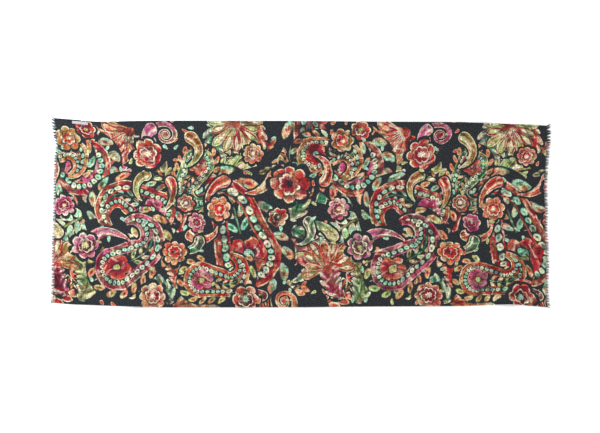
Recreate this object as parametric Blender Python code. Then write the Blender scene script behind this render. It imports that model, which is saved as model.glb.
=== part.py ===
"""A printed wool scarf laid out flat, built the way it is sewn.

One rectangle of light wool carries a narrow hem on each long edge, a thread fringe on each
short end and a small label under one hem. Lengths are in metres. X runs along the scarf,
Y across it, +Z is up, and the origin is on the floor under the middle of the scarf.
"""

import random

import bmesh
import bpy
import numpy as np

# Driving sizes
TIP_TO_TIP = 1.830
CLOTH_THICKNESS = 0.0012
SEAM_GAP = 0.0003
HEM_WIDTH = 0.0045
HEM_THICKNESS = 0.0012
LABEL_START = -0.838
LABEL_END = -0.781
LABEL_WIDTH = 0.010
LABEL_THICKNESS = 0.0010
STRIP_WIDTH = 0.0025

# The fringe: loose warp threads, drawn together into locks
LOCKS_PER_END = 118
LOCK_LENGTH = 0.0105
LOCK_LENGTH_SPREAD = 0.0030
LOCK_ROOT_RADIUS = 0.0009
LOCK_TIP_RADIUS = 0.0005
LOCK_SWAY = 0.0013
CORNER_LOCKS = 5
CORNER_SPLAY = 0.0065
LOCK_LIFT = 0.0008
FLOOR_CLEARANCE = 0.0004
FRINGE_SEED = 11

# How finely the cloth is divided. Its first and last columns lie under the hems
STEPS_ALONG = 88
STEPS_ACROSS = 33
LABEL_STEPS_ALONG = 8
HEM_SHARE = HEM_WIDTH / 0.676

# The two long edges as the cloth lies: how far each is from the middle line
LONG_EDGES = [
    # x, upper, lower
    (-0.900, 0.3465, -0.3295),
    (-0.826, 0.3405, -0.3355),
    (-0.735, 0.3330, -0.3390),
    (-0.606, 0.3360, -0.3435),
    (-0.478, 0.3370, -0.3465),
    (0.000, 0.3360, -0.3460),
    (0.182, 0.3340, -0.3440),
    (0.584, 0.3320, -0.3415),
    (0.658, 0.3290, -0.3390),
    (0.760, 0.3250, -0.3355),
    (0.840, 0.3225, -0.3410),
    (0.900, 0.3185, -0.3460),
]

# The two short ends: how far each is from the middle of the scarf
SHORT_ENDS = [
    # y, left, right
    (-0.345, -0.9040, 0.9030),
    (-0.285, -0.9020, 0.8960),
    (-0.158, -0.9015, 0.8980),
    (-0.048, -0.8985, 0.8925),
    (0.026, -0.8965, 0.8940),
    (0.110, -0.8955, 0.8905),
    (0.190, -0.8930, 0.8955),
    (0.236, -0.8885, 0.8985),
    (0.300, -0.8955, 0.9010),
    (0.345, -0.9010, 0.8990),
]

# Soft folds, each a long low swell. Those on an edge rise where that edge is drawn in
FOLDS = [
    # x, y, turn in degrees, half length, half width, height
    (-0.895, 0.234, -12.0, 0.270, 0.050, 0.0052),
    (-0.900, -0.140, 9.0, 0.200, 0.048, 0.0030),
    (0.892, 0.110, -9.0, 0.310, 0.052, 0.0060),
    (0.893, -0.050, 7.0, 0.220, 0.046, 0.0036),
    (0.897, -0.272, -24.0, 0.230, 0.050, 0.0046),
    (0.758, -0.336, 76.0, 0.220, 0.052, 0.0058),
    (-0.724, 0.334, -68.0, 0.160, 0.046, 0.0042),
    (0.672, 0.328, -104.0, 0.200, 0.050, 0.0044),
    (-0.600, -0.343, 62.0, 0.180, 0.052, 0.0034),
    (-0.210, -0.346, 96.0, 0.150, 0.054, 0.0030),
    (0.140, 0.335, -84.0, 0.150, 0.052, 0.0032),
    (-0.360, 0.060, 24.0, 0.320, 0.062, 0.0034),
    (0.190, -0.150, -13.0, 0.340, 0.064, 0.0036),
    (0.480, 0.120, 58.0, 0.200, 0.056, 0.0026),
]

# Plain colours: name, base colour, roughness
FINISHES = {
    "printed_wool": ((0.215, 0.150, 0.115, 1.0), 0.85),
    "hem_wool": ((0.050, 0.052, 0.058, 1.0), 0.85),
    "fringe_wool": ((0.160, 0.140, 0.130, 1.0), 0.90),
    "label_satin": ((0.800, 0.840, 0.860, 1.0), 0.45),
}


def clear_scene():
    for thing in list(bpy.data.objects):
        bpy.data.objects.remove(thing)


def fair_line(stations, values):
    """A smooth curve through the values, level at each high and low, so it never overshoots."""
    stations = np.asarray(stations, float)
    values = np.asarray(values, float)
    steps = np.diff(stations)
    rises = np.diff(values) / steps
    slopes = np.zeros(len(values))
    before, after = rises[:-1], rises[1:]
    turning = before * after <= 0
    total = np.where(turning, 1.0, before + after)
    slopes[1:-1] = np.where(turning, 0.0, 2 * before * after / total)
    slopes[0], slopes[-1] = rises[0], rises[-1]

    def at(place):
        i = np.clip(np.searchsorted(stations, place) - 1, 0, len(steps) - 1)
        u = (place - stations[i]) / steps[i]
        rest = 1 - u
        ends = values[i] * rest**2 * (1 + 2 * u) + values[i + 1] * u**2 * (3 - 2 * u)
        bend = slopes[i] * u * rest**2 - slopes[i + 1] * u**2 * rest
        return ends + bend * steps[i]

    return at


def fold_height(x, y):
    """How high the cloth stands off the floor: the sum of long, low, smooth swells."""
    height = np.zeros(np.broadcast(x, y).shape)
    for fold_x, fold_y, turn, half_length, half_width, top in FOLDS:
        angle = np.radians(turn)
        dx, dy = x - fold_x, y - fold_y
        down_fold = (dx * np.cos(angle) + dy * np.sin(angle)) / half_length
        over_fold = (dy * np.cos(angle) - dx * np.sin(angle)) / half_width
        height += top * np.clip(1 - down_fold**2 - over_fold**2, 0, None) ** 2
    return height


def cloth_shares():
    """Where the grid's rows and columns lie, as shares of the cloth's length and width."""
    along = np.linspace(0, 1, STEPS_ALONG + 1)
    inside = np.linspace(HEM_SHARE, 1 - HEM_SHARE, STEPS_ACROSS - 1)
    return along, np.concatenate([[0], inside, [1]])


def cloth_points():
    """The underside of the cloth as a grid: rows run across the scarf, columns along it."""
    edge_x, upper, lower = np.array(LONG_EDGES).T
    end_y, left, right = np.array(SHORT_ENDS).T
    along, across = cloth_shares()
    along, across = along[:, None], across[None, :]
    plain_x = edge_x[0] + along * (edge_x[-1] - edge_x[0])
    plain_y = end_y[0] + across * (end_y[-1] - end_y[0])
    low, high = fair_line(edge_x, lower)(plain_x), fair_line(edge_x, upper)(plain_x)
    start, stop = fair_line(end_y, left)(plain_y), fair_line(end_y, right)(plain_y)
    x = start + along * (stop - start)
    y = low + across * (high - low)
    return np.stack([x, y, fold_height(x, y)], axis=-1)


def on_cloth(grid, along, across):
    """The point of the grid at these shares of its length and width, between its corners."""
    along, across = np.broadcast_arrays(along, across)
    rows, columns = cloth_shares()
    i = np.clip(np.searchsorted(rows, along) - 1, 0, STEPS_ALONG - 1)
    j = np.clip(np.searchsorted(columns, across) - 1, 0, STEPS_ACROSS - 1)
    u = ((along - rows[i]) / (rows[i + 1] - rows[i]))[..., None]
    v = ((across - columns[j]) / (columns[j + 1] - columns[j]))[..., None]
    near = grid[i, j] * (1 - u) + grid[i + 1, j] * u
    far = grid[i, j + 1] * (1 - u) + grid[i + 1, j + 1] * u
    return near * (1 - v) + far * v


def raised(points, height):
    return points + np.multiply.outer(np.broadcast_to(height, points.shape[:-1]), [0, 0, 1])


def finish(name):
    colour, roughness = FINISHES[name]
    material = bpy.data.materials.new(name)
    material.use_nodes = True
    shader = material.node_tree.nodes["Principled BSDF"]
    shader.inputs["Base Color"].default_value = colour
    shader.inputs["Roughness"].default_value = roughness
    material.diffuse_color = colour
    return material


def solid(name, points, faces, material):
    """A named object from points and faces, with every face turned outwards."""
    mesh = bpy.data.meshes.new(name)
    mesh.from_pydata([tuple(p) for p in points], [], faces)
    work = bmesh.new()
    work.from_mesh(mesh)
    bmesh.ops.recalc_face_normals(work, faces=work.faces)
    work.to_mesh(mesh)
    work.free()
    mesh.shade_smooth()
    mesh.set_sharp_from_angle(angle=np.radians(40))
    mesh.materials.append(material)
    thing = bpy.data.objects.new(name, mesh)
    bpy.context.scene.collection.objects.link(thing)
    return thing


def sheet(name, under, over, material):
    """A closed wall between two grids of the same size, an underside and a top."""
    rows, columns = under.shape[:2]
    count = rows * columns
    number = np.arange(count).reshape(rows, columns)
    faces = []
    for first, turned in ((number, True), (number + count, False)):
        a, b = first[:-1, :-1].ravel(), first[1:, :-1].ravel()
        c, d = first[1:, 1:].ravel(), first[:-1, 1:].ravel()
        corners = (d, c, b, a) if turned else (a, b, c, d)
        faces += np.stack(corners, axis=1).tolist()
    rim = np.concatenate([number[:-1, 0], number[-1, :-1], number[:0:-1, -1], number[0, :0:-1]])
    after = np.roll(rim, -1)
    faces += np.stack([rim, after, after + count, rim + count], axis=1).tolist()
    points = np.concatenate([under.reshape(-1, 3), over.reshape(-1, 3)])
    return solid(name, points, faces, material)


def make_cloth(grid):
    return sheet("cloth", grid, raised(grid, CLOTH_THICKNESS), finish("printed_wool"))


def make_hem(name, grid, side):
    """The turned edge: a low rounded band that lies on one long edge (side 0 or 1)."""
    along = cloth_shares()[0][:, None]
    inward = np.array([[0.0, 0.5, 1.0]]) * HEM_SHARE
    across = inward if side == 0 else 1 - inward
    under = raised(on_cloth(grid, along, across), CLOTH_THICKNESS + SEAM_GAP)
    crown = np.array([[0.65, 1.0, 0.75]]) * HEM_THICKNESS
    return sheet(name, under, raised(under, crown), finish("hem_wool"))


def make_label(grid):
    """A short woven band that lies on the cloth, its upper edge against the upper hem."""
    start_x, end_x = grid[0, -1, 0], grid[-1, -1, 0]
    first, last = (np.array([LABEL_START, LABEL_END]) - start_x) / (end_x - start_x)
    along = np.linspace(first, last, LABEL_STEPS_ALONG + 1)[:, None]
    width = on_cloth(grid, along, 1)[..., 1] - on_cloth(grid, along, 0)[..., 1]
    inward = np.array([[LABEL_WIDTH, 0.5 * LABEL_WIDTH, 0.0]]) + SEAM_GAP
    across = 1 - HEM_SHARE - inward / width
    under = raised(on_cloth(grid, along, across), CLOTH_THICKNESS + SEAM_GAP)
    return sheet("label", under, raised(under, LABEL_THICKNESS), finish("label_satin"))


def lock_lean(draw, place):
    """How far a lock leans along the end: a little at random, and outwards at the corners."""
    corner = CORNER_LOCKS / LOCKS_PER_END
    if place < corner:
        return -CORNER_SPLAY * (1 - place / corner)
    if place > 1 - corner:
        return CORNER_SPLAY * (1 - (1 - place) / corner)
    return draw.uniform(-LOCK_SWAY, LOCK_SWAY)


def lock_lengths(draw, outward, roots):
    """Uneven lengths, all shifted alike so that the longest reach is half the tip to tip."""
    lengths = np.array([LOCK_LENGTH - draw.uniform(0, LOCK_LENGTH_SPREAD) for _ in roots])
    return lengths + TIP_TO_TIP / 2 - np.max(outward * roots[:, 0] + lengths)


def lock_ring(x, y, low, radius):
    """Three points round a lock: two below its middle, at the height low, and one above."""
    return [(x, y - radius, low), (x, y + radius, low), (x, y, low + 1.5 * radius)]


def make_fringe(name, grid, side, seed):
    """Locks of thread on a narrow strip that lies just outside one short end (side 0 or 1).

    The strip is a bar with an underside, a top and two long walls. Each lock grows from a
    triangle in the outer wall, narrows through one ring and ends in a smaller triangle.
    """
    draw = random.Random(seed)
    outward = -1 if side == 0 else 1
    places = (np.arange(LOCKS_PER_END) + 0.5) / LOCKS_PER_END
    inner = on_cloth(grid, side, np.concatenate([[0.0], places, [1.0]]))
    inner[:, 0] += outward * SEAM_GAP
    outer = inner + [outward * STRIP_WIDTH, 0, 0]
    lengths = lock_lengths(draw, outward, outer[1:-1])

    # The strip's points: its inner wall, then low left, low right and top of each root
    points = [*map(tuple, inner), *map(tuple, raised(inner, CLOTH_THICKNESS))]
    low, high, roots = range(len(inner)), range(len(inner), 2 * len(inner)), []
    for k, (x, y, z) in enumerate(outer):
        first, at_end = len(points), k in (0, len(outer) - 1)
        sides = [y] if at_end else [y - LOCK_ROOT_RADIUS, y + LOCK_ROOT_RADIUS]
        points += [(x, side_y, z) for side_y in sides] + [(x, y, z + CLOTH_THICKNESS)]
        roots.append((first, len(points) - 2, len(points) - 1))

    # The strip's faces, from one root to the next, and its two ends
    faces = [(low[k], high[k], roots[k][2], roots[k][0]) for k in (0, -1)]
    for k, (root, following) in enumerate(zip(roots, roots[1:])):
        (start, right, top), (left, _, next_top) = root, following
        faces.append((high[k], high[k + 1], next_top, top))
        faces.append((low[k], low[k + 1], high[k + 1], high[k]))
        faces.append((right, left, next_top, top))
        faces.append((low[k], low[k + 1], left, right))
        if start != right:
            faces.append((low[k], start, right))

    # The locks: from each root down to just above the floor
    for (x, y, z), ring, place, length in zip(outer[1:-1], roots[1:-1], places, lengths):
        lean, lift = lock_lean(draw, place), draw.uniform(0, LOCK_LIFT)
        middle = lock_ring(x + outward * 0.45 * length, y + 0.35 * lean,
                           FLOOR_CLEARANCE + 0.6 * z + 0.5 * lift, 0.8 * LOCK_ROOT_RADIUS)
        tip = lock_ring(x + outward * length, y + lean,
                        FLOOR_CLEARANCE + 0.2 * z + lift, LOCK_TIP_RADIUS)
        for corners in (middle, tip):
            after = range(len(points), len(points) + 3)
            points += corners
            faces += [(ring[a], ring[a - 2], after[a - 2], after[a]) for a in range(3)]
            ring = tuple(after)
        faces.append(ring)
    return solid(name, points, faces, finish("fringe_wool"))


def build():
    clear_scene()
    grid = cloth_points()
    make_cloth(grid)
    make_hem("hem_lower", grid, 0)
    make_hem("hem_upper", grid, 1)
    make_fringe("fringe_left", grid, 0, FRINGE_SEED)
    make_fringe("fringe_right", grid, 1, FRINGE_SEED + 1)
    make_label(grid)


build()
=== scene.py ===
# %% [markdown]
# # A printed wool scarf, laid out flat
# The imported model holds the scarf's plain solids: one thin cloth, two hems, two fringes and a
# label. This lesson dresses them. The cloth gets its soft creases and a painted paisley print,
# the fringe gets its loose threads, and the hems and the label get their stitches.
# All lengths are metres: X runs along the scarf, Y across it, and the floor is at Z = 0.

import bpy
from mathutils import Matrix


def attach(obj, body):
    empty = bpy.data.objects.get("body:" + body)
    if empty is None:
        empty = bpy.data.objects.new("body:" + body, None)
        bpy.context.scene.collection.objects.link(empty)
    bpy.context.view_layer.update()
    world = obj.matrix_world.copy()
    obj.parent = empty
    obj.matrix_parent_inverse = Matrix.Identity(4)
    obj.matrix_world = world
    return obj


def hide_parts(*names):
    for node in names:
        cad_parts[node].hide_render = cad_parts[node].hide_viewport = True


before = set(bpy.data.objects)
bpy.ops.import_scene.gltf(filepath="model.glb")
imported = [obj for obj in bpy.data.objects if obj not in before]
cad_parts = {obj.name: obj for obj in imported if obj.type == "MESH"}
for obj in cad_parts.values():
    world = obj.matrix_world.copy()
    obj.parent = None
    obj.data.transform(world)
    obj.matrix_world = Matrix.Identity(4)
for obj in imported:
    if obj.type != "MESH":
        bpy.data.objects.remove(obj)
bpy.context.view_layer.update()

# %% Import the tools
from functools import partial, partialmethod
from math import e, pi, radians

import bpy
import numpy as np

# %% [markdown]
# ## The cloth's outline
# Real cloth laid by hand is never a true rectangle. The long edges bow and the short ends wander
# by a few millimetres. Two short tables hold how far each edge lies from the middle lines, as in
# the model's own source, and a smooth curve joins the rows.

# %% Tables of the outline
LONG_EDGES = np.array([
    # x, upper, lower
    (-0.900, 0.3465, -0.3295), (-0.826, 0.3405, -0.3355), (-0.735, 0.3330, -0.3390),
    (-0.606, 0.3360, -0.3435), (-0.478, 0.3370, -0.3465), (0.000, 0.3360, -0.3460),
    (0.182, 0.3340, -0.3440), (0.584, 0.3320, -0.3415), (0.658, 0.3290, -0.3390),
    (0.760, 0.3250, -0.3355), (0.840, 0.3225, -0.3410), (0.900, 0.3185, -0.3460),
])
SHORT_ENDS = np.array([
    # y, left, right
    (-0.345, -0.9040, 0.9030), (-0.285, -0.9020, 0.8960), (-0.158, -0.9015, 0.8980),
    (-0.048, -0.8985, 0.8925), (0.026, -0.8965, 0.8940), (0.110, -0.8955, 0.8905),
    (0.190, -0.8930, 0.8955), (0.236, -0.8885, 0.8985), (0.300, -0.8955, 0.9010),
    (0.345, -0.9010, 0.8990),
])


def fair_line(stations, values):
    """A smooth curve through the values that never overshoots them: a cubic between each two.

    The slope at a row is the harmonic mean of the rises on its two sides, and 0 at a high or low.
    """
    steps = np.diff(stations)
    rises = np.diff(values) / steps
    before, after = rises[:-1], rises[1:]
    turning = before * after <= 0
    total = np.where(turning, 1.0, before + after)
    inner = np.where(turning, 0.0, 2 * before * after / total)
    slopes = np.concatenate([rises[:1], inner, rises[-1:]])

    def at(place):
        i = np.clip(np.searchsorted(stations, place) - 1, 0, len(steps) - 1)
        u = (place - stations[i]) / steps[i]
        rest = 1 - u
        ends = values[i] * rest**2 * (1 + 2 * u) + values[i + 1] * u**2 * (3 - 2 * u)
        bend = slopes[i] * u * rest**2 - slopes[i + 1] * u**2 * rest
        return ends + bend * steps[i]

    return at


print("rows for the long edges", len(LONG_EDGES), "and for the short ends", len(SHORT_ENDS))

# %% [markdown]
# ## Folds and creases
# A flat scarf still shows where it was folded and handled: long low swells that start where an
# edge is drawn in, and finer creases between them. A simulation could make these, but each one
# is so simple that a formula is shorter and puts it just where it belongs. A fold is a smooth
# bump over a long ellipse, and it is exactly flat outside that ellipse.

# %% Tables of folds and creases
FOLDS = [
    # x, y, turn in degrees, half length, half width, height
    (-0.895, 0.234, -12.0, 0.270, 0.050, 0.0052), (-0.900, -0.140, 9.0, 0.200, 0.048, 0.0030),
    (0.892, 0.110, -9.0, 0.310, 0.052, 0.0060), (0.893, -0.050, 7.0, 0.220, 0.046, 0.0036),
    (0.897, -0.272, -24.0, 0.230, 0.050, 0.0046), (0.758, -0.336, 76.0, 0.220, 0.052, 0.0058),
    (-0.724, 0.334, -68.0, 0.160, 0.046, 0.0042), (0.672, 0.328, -104.0, 0.200, 0.050, 0.0044),
    (-0.600, -0.343, 62.0, 0.180, 0.052, 0.0034), (-0.210, -0.346, 96.0, 0.150, 0.054, 0.0030),
    (0.140, 0.335, -84.0, 0.150, 0.052, 0.0032), (-0.360, 0.060, 24.0, 0.320, 0.062, 0.0034),
    (0.190, -0.150, -13.0, 0.340, 0.064, 0.0036), (0.480, 0.120, 58.0, 0.200, 0.056, 0.0026),
]
CREASE_COUNT, CREASE_SEED = 44, 4
CREASE_PLACES = (-0.86, -0.31), (0.86, 0.31)
CREASE_TURN, CREASE_TURN_SPREAD = 90, 38
CREASE_HALF_SIZES = (0.05, 0.012), (0.14, 0.022)
CREASE_HEIGHTS = 0.0004, 0.0011


def random_creases():
    """Fine creases: short, narrow and low, most of them across the scarf."""
    draw = np.random.default_rng(CREASE_SEED)
    place = draw.uniform(*CREASE_PLACES, (CREASE_COUNT, 2))
    turn = draw.normal(CREASE_TURN, CREASE_TURN_SPREAD, CREASE_COUNT)
    half = draw.uniform(*CREASE_HALF_SIZES, (CREASE_COUNT, 2))
    height = draw.uniform(*CREASE_HEIGHTS, CREASE_COUNT)
    return np.column_stack([place, turn, half, height])


def fold_height(x, y, folds):
    """The sum of long, low, smooth swells: height times (1 - a^2 - b^2)^2 inside each."""
    total = np.zeros(np.broadcast(x, y).shape)
    for fold_x, fold_y, turn, half_length, half_width, top in folds:
        angle = np.radians(turn)
        dx, dy = x - fold_x, y - fold_y
        down_fold = (dx * np.cos(angle) + dy * np.sin(angle)) / half_length
        over_fold = (dy * np.cos(angle) - dx * np.sin(angle)) / half_width
        total += top * np.clip(1 - down_fold**2 - over_fold**2, 0, None) ** 2
    return total


CREASES = random_creases()
print("folds", len(FOLDS), "creases", len(CREASES))

# %% [markdown]
# ## One function for the whole cloth
# Everything on the scarf, from the hems to the last thread, sits on the same surface. It is a
# function of two shares, how far along and how far across, so each piece asks it for points and
# fits without any measuring.

# %% The surface of the cloth
CLOTH_LENGTH, CLOTH_WIDTH, CLOTH_THICKNESS = 1.800, 0.680, 0.0012
SWELLS = [*FOLDS, *CREASES]


def cloth_at(along, across, lift=0.0):
    """The cloth's underside at these shares of its length and width, raised by lift.

    x goes from the left end to the right one and y from the lower edge to the upper one, each
    in proportion to its share. The height is the sum of all folds and creases there.
    """
    along, across = np.broadcast_arrays(along, across)
    edge_x, upper, lower = LONG_EDGES.T
    end_y, left, right = SHORT_ENDS.T
    plain_x = edge_x[0] + along * (edge_x[-1] - edge_x[0])
    plain_y = end_y[0] + across * (end_y[-1] - end_y[0])
    low, high = fair_line(edge_x, lower)(plain_x), fair_line(edge_x, upper)(plain_x)
    start, stop = fair_line(end_y, left)(plain_y), fair_line(end_y, right)(plain_y)
    x = start + along * (stop - start)
    y = low + across * (high - low)
    return np.stack([x, y, fold_height(x, y, SWELLS) + lift], axis=-1)


def fabric_place(along, across):
    """Where a point is on the fabric itself, in metres from its middle. The print reads this."""
    along, across = np.broadcast_arrays(along, across)
    return np.stack([(along - 0.5) * CLOTH_LENGTH, (across - 0.5) * CLOTH_WIDTH], axis=-1)


print("upper left corner", cloth_at(0.0, 1.0).round(4), "right", cloth_at(1.0, 1.0).round(4))

# %% [markdown]
# ## From arrays to objects
# Two kinds of mesh make every piece. A band is a loop of points carried along the scarf and closed
# at both ends, which suits the cloth, the hems and the label. A strand is a ring carried along a
# path, which suits threads and stitches.

# %% Mesh helpers
SHARP_ANGLE = radians(50)


def object_from(name, points, faces, places, material):
    """A named object at the origin, from points that each have a place on the fabric.

    A closed mesh whose corners' triple products add up to less than zero is inside out, and has
    its faces turned round.
    """
    points, places = points.reshape(-1, 3), places.reshape(-1, 2)
    first, second, third = points[[face[:3] for face in faces]].transpose(1, 0, 2)
    if np.einsum("ij,ij->", first, np.cross(second, third)) < 0:
        faces = [face[::-1] for face in faces]
    mesh = bpy.data.meshes.new(name)
    mesh.from_pydata(points.tolist(), [], faces)
    corners = np.zeros(len(mesh.loops), int)
    mesh.loops.foreach_get("vertex_index", corners)
    uv = mesh.uv_layers.new(name="fabric")
    uv.data.foreach_set("uv", places[corners].ravel())
    mesh.materials.append(material)
    mesh.shade_smooth()
    mesh.set_sharp_from_angle(angle=SHARP_ANGLE)
    thing = bpy.data.objects.new(name, mesh)
    bpy.context.scene.collection.objects.link(thing)
    mesh.calc_loop_triangles()
    print(f"{name}: {len(mesh.loop_triangles)} triangles")
    return thing


def band_faces(rows, loop):
    """Quads round and along a band whose loop has an even number of points, with both ends."""
    number = np.arange(rows * loop).reshape(rows, loop)
    following = np.roll(number, -1, axis=1)
    walls = np.stack([number[:-1], following[:-1], following[1:], number[1:]], axis=-1)
    half = np.arange(loop // 2 - 1)
    cap = np.stack([half, loop - 1 - half, loop - 2 - half, half + 1], axis=-1)
    return np.concatenate([walls.reshape(-1, 4), cap, number[-1][cap[:, ::-1]]]).tolist()


def strands(paths, radii, sides):
    """Round strands along paths (strand, station, xyz): a circle across the path at each one."""
    ahead = np.gradient(paths, axis=1)
    ahead /= np.linalg.norm(ahead, axis=2, keepdims=True)
    aside = np.cross([0.0, 0.0, 1.0], ahead)
    aside /= np.linalg.norm(aside, axis=2, keepdims=True)
    above = np.cross(ahead, aside)
    angle = (np.arange(sides) * 2 * pi / sides + pi / 2)[:, None]
    ring = np.cos(angle) * aside[:, :, None] + np.sin(angle) * above[:, :, None]
    points = paths[:, :, None] + radii[:, :, None, None] * ring
    number = np.arange(points[..., 0].size).reshape(points.shape[:3])
    near, far = number[:, :-1], number[:, 1:]
    walls = np.stack([near, np.roll(near, -1, 2), np.roll(far, -1, 2), far], axis=-1)
    faces = walls.reshape(-1, 4).tolist()
    return points, faces + number[:, 0, ::-1].tolist() + number[:, -1].tolist()


# %% [markdown]
# ## Shader maths as Python
# The print is painted by nodes, and long sums are hard to read as a web of them. A small class
# wraps one output socket. Sums on it add Math nodes, sums on a vector add Vector Math nodes, and
# one method adds any other node.

# %% A socket that can be added and multiplied
class Wire:
    """One output socket of a node tree."""

    def __init__(self, socket):
        self.socket, self.tree = socket, socket.id_data

    def node(self, kind, settings, inputs, out=0):
        """A new node: its type, its settings, then values or wires for its sockets."""
        made = self.tree.nodes.new(kind)
        for name, value in settings.items():
            if name == "stops":
                fill_ramp(made.color_ramp, value)
            else:
                setattr(made, name, value)
        for name, value in inputs.items():
            if isinstance(value, Wire):
                self.tree.links.new(value.socket, made.inputs[name])
            else:
                made.inputs[name].default_value = value
        return Wire(made.outputs[out])

    def combine(self, operation, other, swapped=False):
        """A Math node on two numbers, or a Vector Math node if either is a vector or colour."""
        pair = (other, self) if swapped else (self, other)
        flat = all(not isinstance(v, Wire) or v.socket.type == "VALUE" for v in pair)
        if flat:
            kind = "ShaderNodeMath"
        else:
            kind = "ShaderNodeVectorMath"
            pair = [(v,) * 3 if isinstance(v, (int, float)) else v for v in pair]
        return self.node(kind, {"operation": operation}, dict(enumerate(pair)))

    __add__ = __radd__ = partialmethod(combine, "ADD")
    __mul__ = __rmul__ = partialmethod(combine, "MULTIPLY")
    __sub__ = partialmethod(combine, "SUBTRACT")
    __rsub__ = partialmethod(combine, "SUBTRACT", swapped=True)
    __truediv__ = partialmethod(combine, "DIVIDE")
    __neg__ = partialmethod(combine, "MULTIPLY", -1.0)


def fill_ramp(ramp, stops):
    """Puts (place, colour) stops into a colour ramp, which starts with two of its own."""
    while len(ramp.elements) < len(stops):
        ramp.elements.new(1.0)
    for element, (place, colour) in zip(ramp.elements, stops):
        element.position, element.color = place, colour


# %% Named sums
def maths(operation, *values):
    """One Math node on wires and numbers."""
    wire = next(v for v in values if isinstance(v, Wire))
    return wire.node("ShaderNodeMath", {"operation": operation}, dict(enumerate(values)))


root = partial(maths, "SQRT")
sine = partial(maths, "SINE")
cosine = partial(maths, "COSINE")
size_of = partial(maths, "ABSOLUTE")
whole = partial(maths, "FLOOR")
fraction = partial(maths, "FRACT")
power = partial(maths, "POWER")
angle_of = partial(maths, "ARCTAN2")
greater = partial(maths, "GREATER_THAN")


def distance(x, y):
    """The root of the sum of two squares."""
    return root(x * x + y * y)


def within(value, low, high):
    """1 where the value lies between low and high, and 0 elsewhere."""
    return greater(value, low) * greater(high, value)


def natural_log(value):
    """The logarithm that grows by one each time the value grows e times."""
    return maths("LOGARITHM", value, e)


def clamped(value):
    """The value, held between 0 and 1."""
    return value.node("ShaderNodeClamp", {}, {0: value})


def ink(gap, sharpness=90.0):
    """A mask: 1 where gap is above zero, 0 where it is below, with a smooth edge between."""
    settings = {"interpolation_type": "SMOOTHSTEP", "clamp": False}
    edge = 0.5 / sharpness
    return gap.node("ShaderNodeMapRange", settings, {0: gap, 1: -edge, 2: edge})


def between(first, second, share):
    """A number that goes from first to second as share goes from 0 to 1."""
    return share.node("ShaderNodeMix", {"data_type": "FLOAT"}, {0: share, 2: first, 3: second})


def over(paint, colour, mask):
    """Colour laid over paint where the mask is 1. It also blends two plain colours."""
    wire = next(v for v in (mask, paint, colour) if isinstance(v, Wire))
    return wire.node("ShaderNodeMix", {"data_type": "RGBA"}, {0: mask, 6: paint, 7: colour}, 2)


def parts_of(wire):
    """The x, y and z of a vector, or the red, green and blue of a colour, as three wires."""
    of_colour = wire.socket.type == "RGBA"
    kind = "ShaderNodeSeparateColor" if of_colour else "ShaderNodeSeparateXYZ"
    first = wire.node(kind, {}, {0: wire})
    return [Wire(socket) for socket in first.socket.node.outputs]


def noise(place, scale, detail, out=0):
    """Smooth noise from 0 to 1, scale humps to a metre. Output 0 is a value and 1 a colour."""
    inputs = {"Vector": place, "Scale": scale, "Detail": detail, "Roughness": 0.55}
    return place.node("ShaderNodeTexNoise", {"noise_dimensions": "2D"}, inputs, out)


# %% [markdown]
# ## Node groups
# The print has about seventy motifs but only a few kinds. Each kind is drawn once, as a node group,
# and used again at another place, turn, size and colour. A group is also much quicker for Blender
# to build than the same nodes in one long row. Inside these groups numbers stay numbers and
# colours stay colours, because each silent change of kind takes room on the shader's small stack.

# %% Group helpers
PRINT_REPEAT = 1.01
SOCKET_KINDS = {"colour": "NodeSocketColor", "vector": "NodeSocketVector",
                "number": "NodeSocketFloat"}
PLACING = {"paint": "colour", "place": "vector", "wet": "number",
           "centre": "vector", "turn": "number", "scale": "vector"}
WETTER_AHEAD = 0.12
NO_REPEAT = 9.0


def make_group(name, sockets, draw):
    """A node group. sockets gives each input's kind, and draw turns their wires into a colour."""
    tree = bpy.data.node_groups.new(name, "ShaderNodeTree")
    for socket, kind in sockets.items():
        tree.interface.new_socket(socket, in_out="INPUT", socket_type=SOCKET_KINDS[kind])
    tree.interface.new_socket("paint", in_out="OUTPUT", socket_type=SOCKET_KINDS["colour"])
    start, end = tree.nodes.new("NodeGroupInput"), tree.nodes.new("NodeGroupOutput")
    painted = draw(*[Wire(start.outputs[socket]) for socket in sockets])
    tree.links.new(painted.socket, end.inputs[0])
    print(f"group {name}: {len(tree.nodes)} nodes")
    return tree


def motif(colours, numbers=""):
    """Makes a drawing function a node group that works in the motif's own x and y.

    The function yields layers, each a colour and its mask, and they are laid on in that order.
    The place is taken from the motif's centre, wrapped round to the nearest repeat along the
    scarf, turned and scaled. Paint is a little wetter towards the motif's own +y.
    """
    own = dict.fromkeys(colours.split(), "colour") | dict.fromkeys(numbers.split(), "number")

    def build(draw):
        def placed(paint, place, wet, centre, turn, scale, *rest):
            half = (PRINT_REPEAT / 2, NO_REPEAT, NO_REPEAT)
            away = place - centre
            near = away.node("ShaderNodeVectorMath", {"operation": "WRAP"},
                             {0: away, 1: half, 2: tuple(-v for v in half)})
            turned = near.node("ShaderNodeVectorRotate", {"rotation_type": "Z_AXIS"},
                               {"Vector": near, "Angle": turn})
            x, y, _ = parts_of(turned * scale)
            for colour, mask in draw(x, y, wet + y * WETTER_AHEAD, *rest):
                paint = over(paint, colour, mask)
            return paint

        return make_group(draw.__name__, PLACING | own, placed)

    return build


# %% [markdown]
# ## The colours of the print
# The ground is a bluish charcoal. The paints on it run from crimson and scarlet through coral,
# peach and cream to yellow green, mint and teal, with a little pink and lilac.

# %% The palette
def paint_pot(red, green, blue):
    """A screen colour from 0 to 255 as the linear colour that a shader works in."""
    screen = np.array([red, green, blue]) / 255
    linear = np.where(screen <= 0.04045, screen / 12.92, ((screen + 0.055) / 1.055) ** 2.4)
    return (*linear.tolist(), 1.0)


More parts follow.
